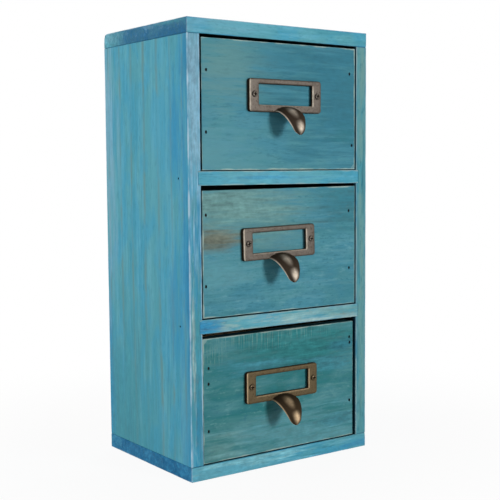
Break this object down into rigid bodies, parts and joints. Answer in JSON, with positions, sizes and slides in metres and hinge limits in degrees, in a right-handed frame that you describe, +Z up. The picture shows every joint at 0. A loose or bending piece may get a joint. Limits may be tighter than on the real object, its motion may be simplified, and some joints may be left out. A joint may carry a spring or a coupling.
{
  "type": "tabletop chest of drawers",
  "caption": "Small upright tabletop chest in blue-green stained wood: sliding nailed drawers stacked in a plain board case, each with a cast label-frame pull and finger hook.",
  "frame": {"origin": "centre of the case's underside, where it stands", "axes": "+Z up, the drawers open towards -Y, +X to the right as one faces the drawers"},
  "size_m": [0.16, 0.1416, 0.32],
  "materials": {
    "case_wood": "washed blue stain, matt",
    "front_wood": "washed teal stain, matt",
    "drawer_wood": "bare softwood",
    "panel_wood": "bare thin board",
    "pull_bronze": "antique bronze, worn edges",
    "nail_steel": "darkened"
  },
  "bodies": {
    "case": {"top_board": "case_wood", "bottom_board": "case_wood", "left_side": "case_wood", "right_side": "case_wood", "upper_shelf": "case_wood", "lower_shelf": "case_wood", "back_panel": "panel_wood", "top_nails": "nail_steel", "base_nails": "nail_steel", "left_shelf_nails": "nail_steel", "right_shelf_nails": "nail_steel", "back_panel_nails": "nail_steel"},
    "top_drawer": {"top_drawer_front": "front_wood", "top_drawer_left_side": "drawer_wood", "top_drawer_right_side": "drawer_wood", "top_drawer_rear": "drawer_wood", "top_drawer_bottom": "panel_wood", "top_drawer_pull": "pull_bronze", "top_drawer_pull_screws": "pull_bronze", "top_drawer_front_nails": "nail_steel", "top_drawer_rear_nails": "nail_steel", "top_drawer_bottom_nails": "nail_steel"},
    "middle_drawer": {"middle_drawer_front": "front_wood", "middle_drawer_left_side": "drawer_wood", "middle_drawer_right_side": "drawer_wood", "middle_drawer_rear": "drawer_wood", "middle_drawer_bottom": "panel_wood", "middle_drawer_pull": "pull_bronze", "middle_drawer_pull_screws": "pull_bronze", "middle_drawer_front_nails": "nail_steel", "middle_drawer_rear_nails": "nail_steel", "middle_drawer_bottom_nails": "nail_steel"},
    "bottom_drawer": {"bottom_drawer_front": "front_wood", "bottom_drawer_left_side": "drawer_wood", "bottom_drawer_right_side": "drawer_wood", "bottom_drawer_rear": "drawer_wood", "bottom_drawer_bottom": "panel_wood", "bottom_drawer_pull": "pull_bronze", "bottom_drawer_pull_screws": "pull_bronze", "bottom_drawer_front_nails": "nail_steel", "bottom_drawer_rear_nails": "nail_steel", "bottom_drawer_bottom_nails": "nail_steel"}
  },
  "joints": [
    {"name": "top_drawer_slide", "type": "slide", "parent": "case", "child": "top_drawer", "axis": [0, -1, 0], "range_m": [0, 0.095]},
    {"name": "middle_drawer_slide", "type": "slide", "parent": "case", "child": "middle_drawer", "axis": [0, -1, 0], "range_m": [0, 0.095]},
    {"name": "bottom_drawer_slide", "type": "slide", "parent": "case", "child": "bottom_drawer", "axis": [0, -1, 0], "range_m": [0, 0.095]}
  ]
}
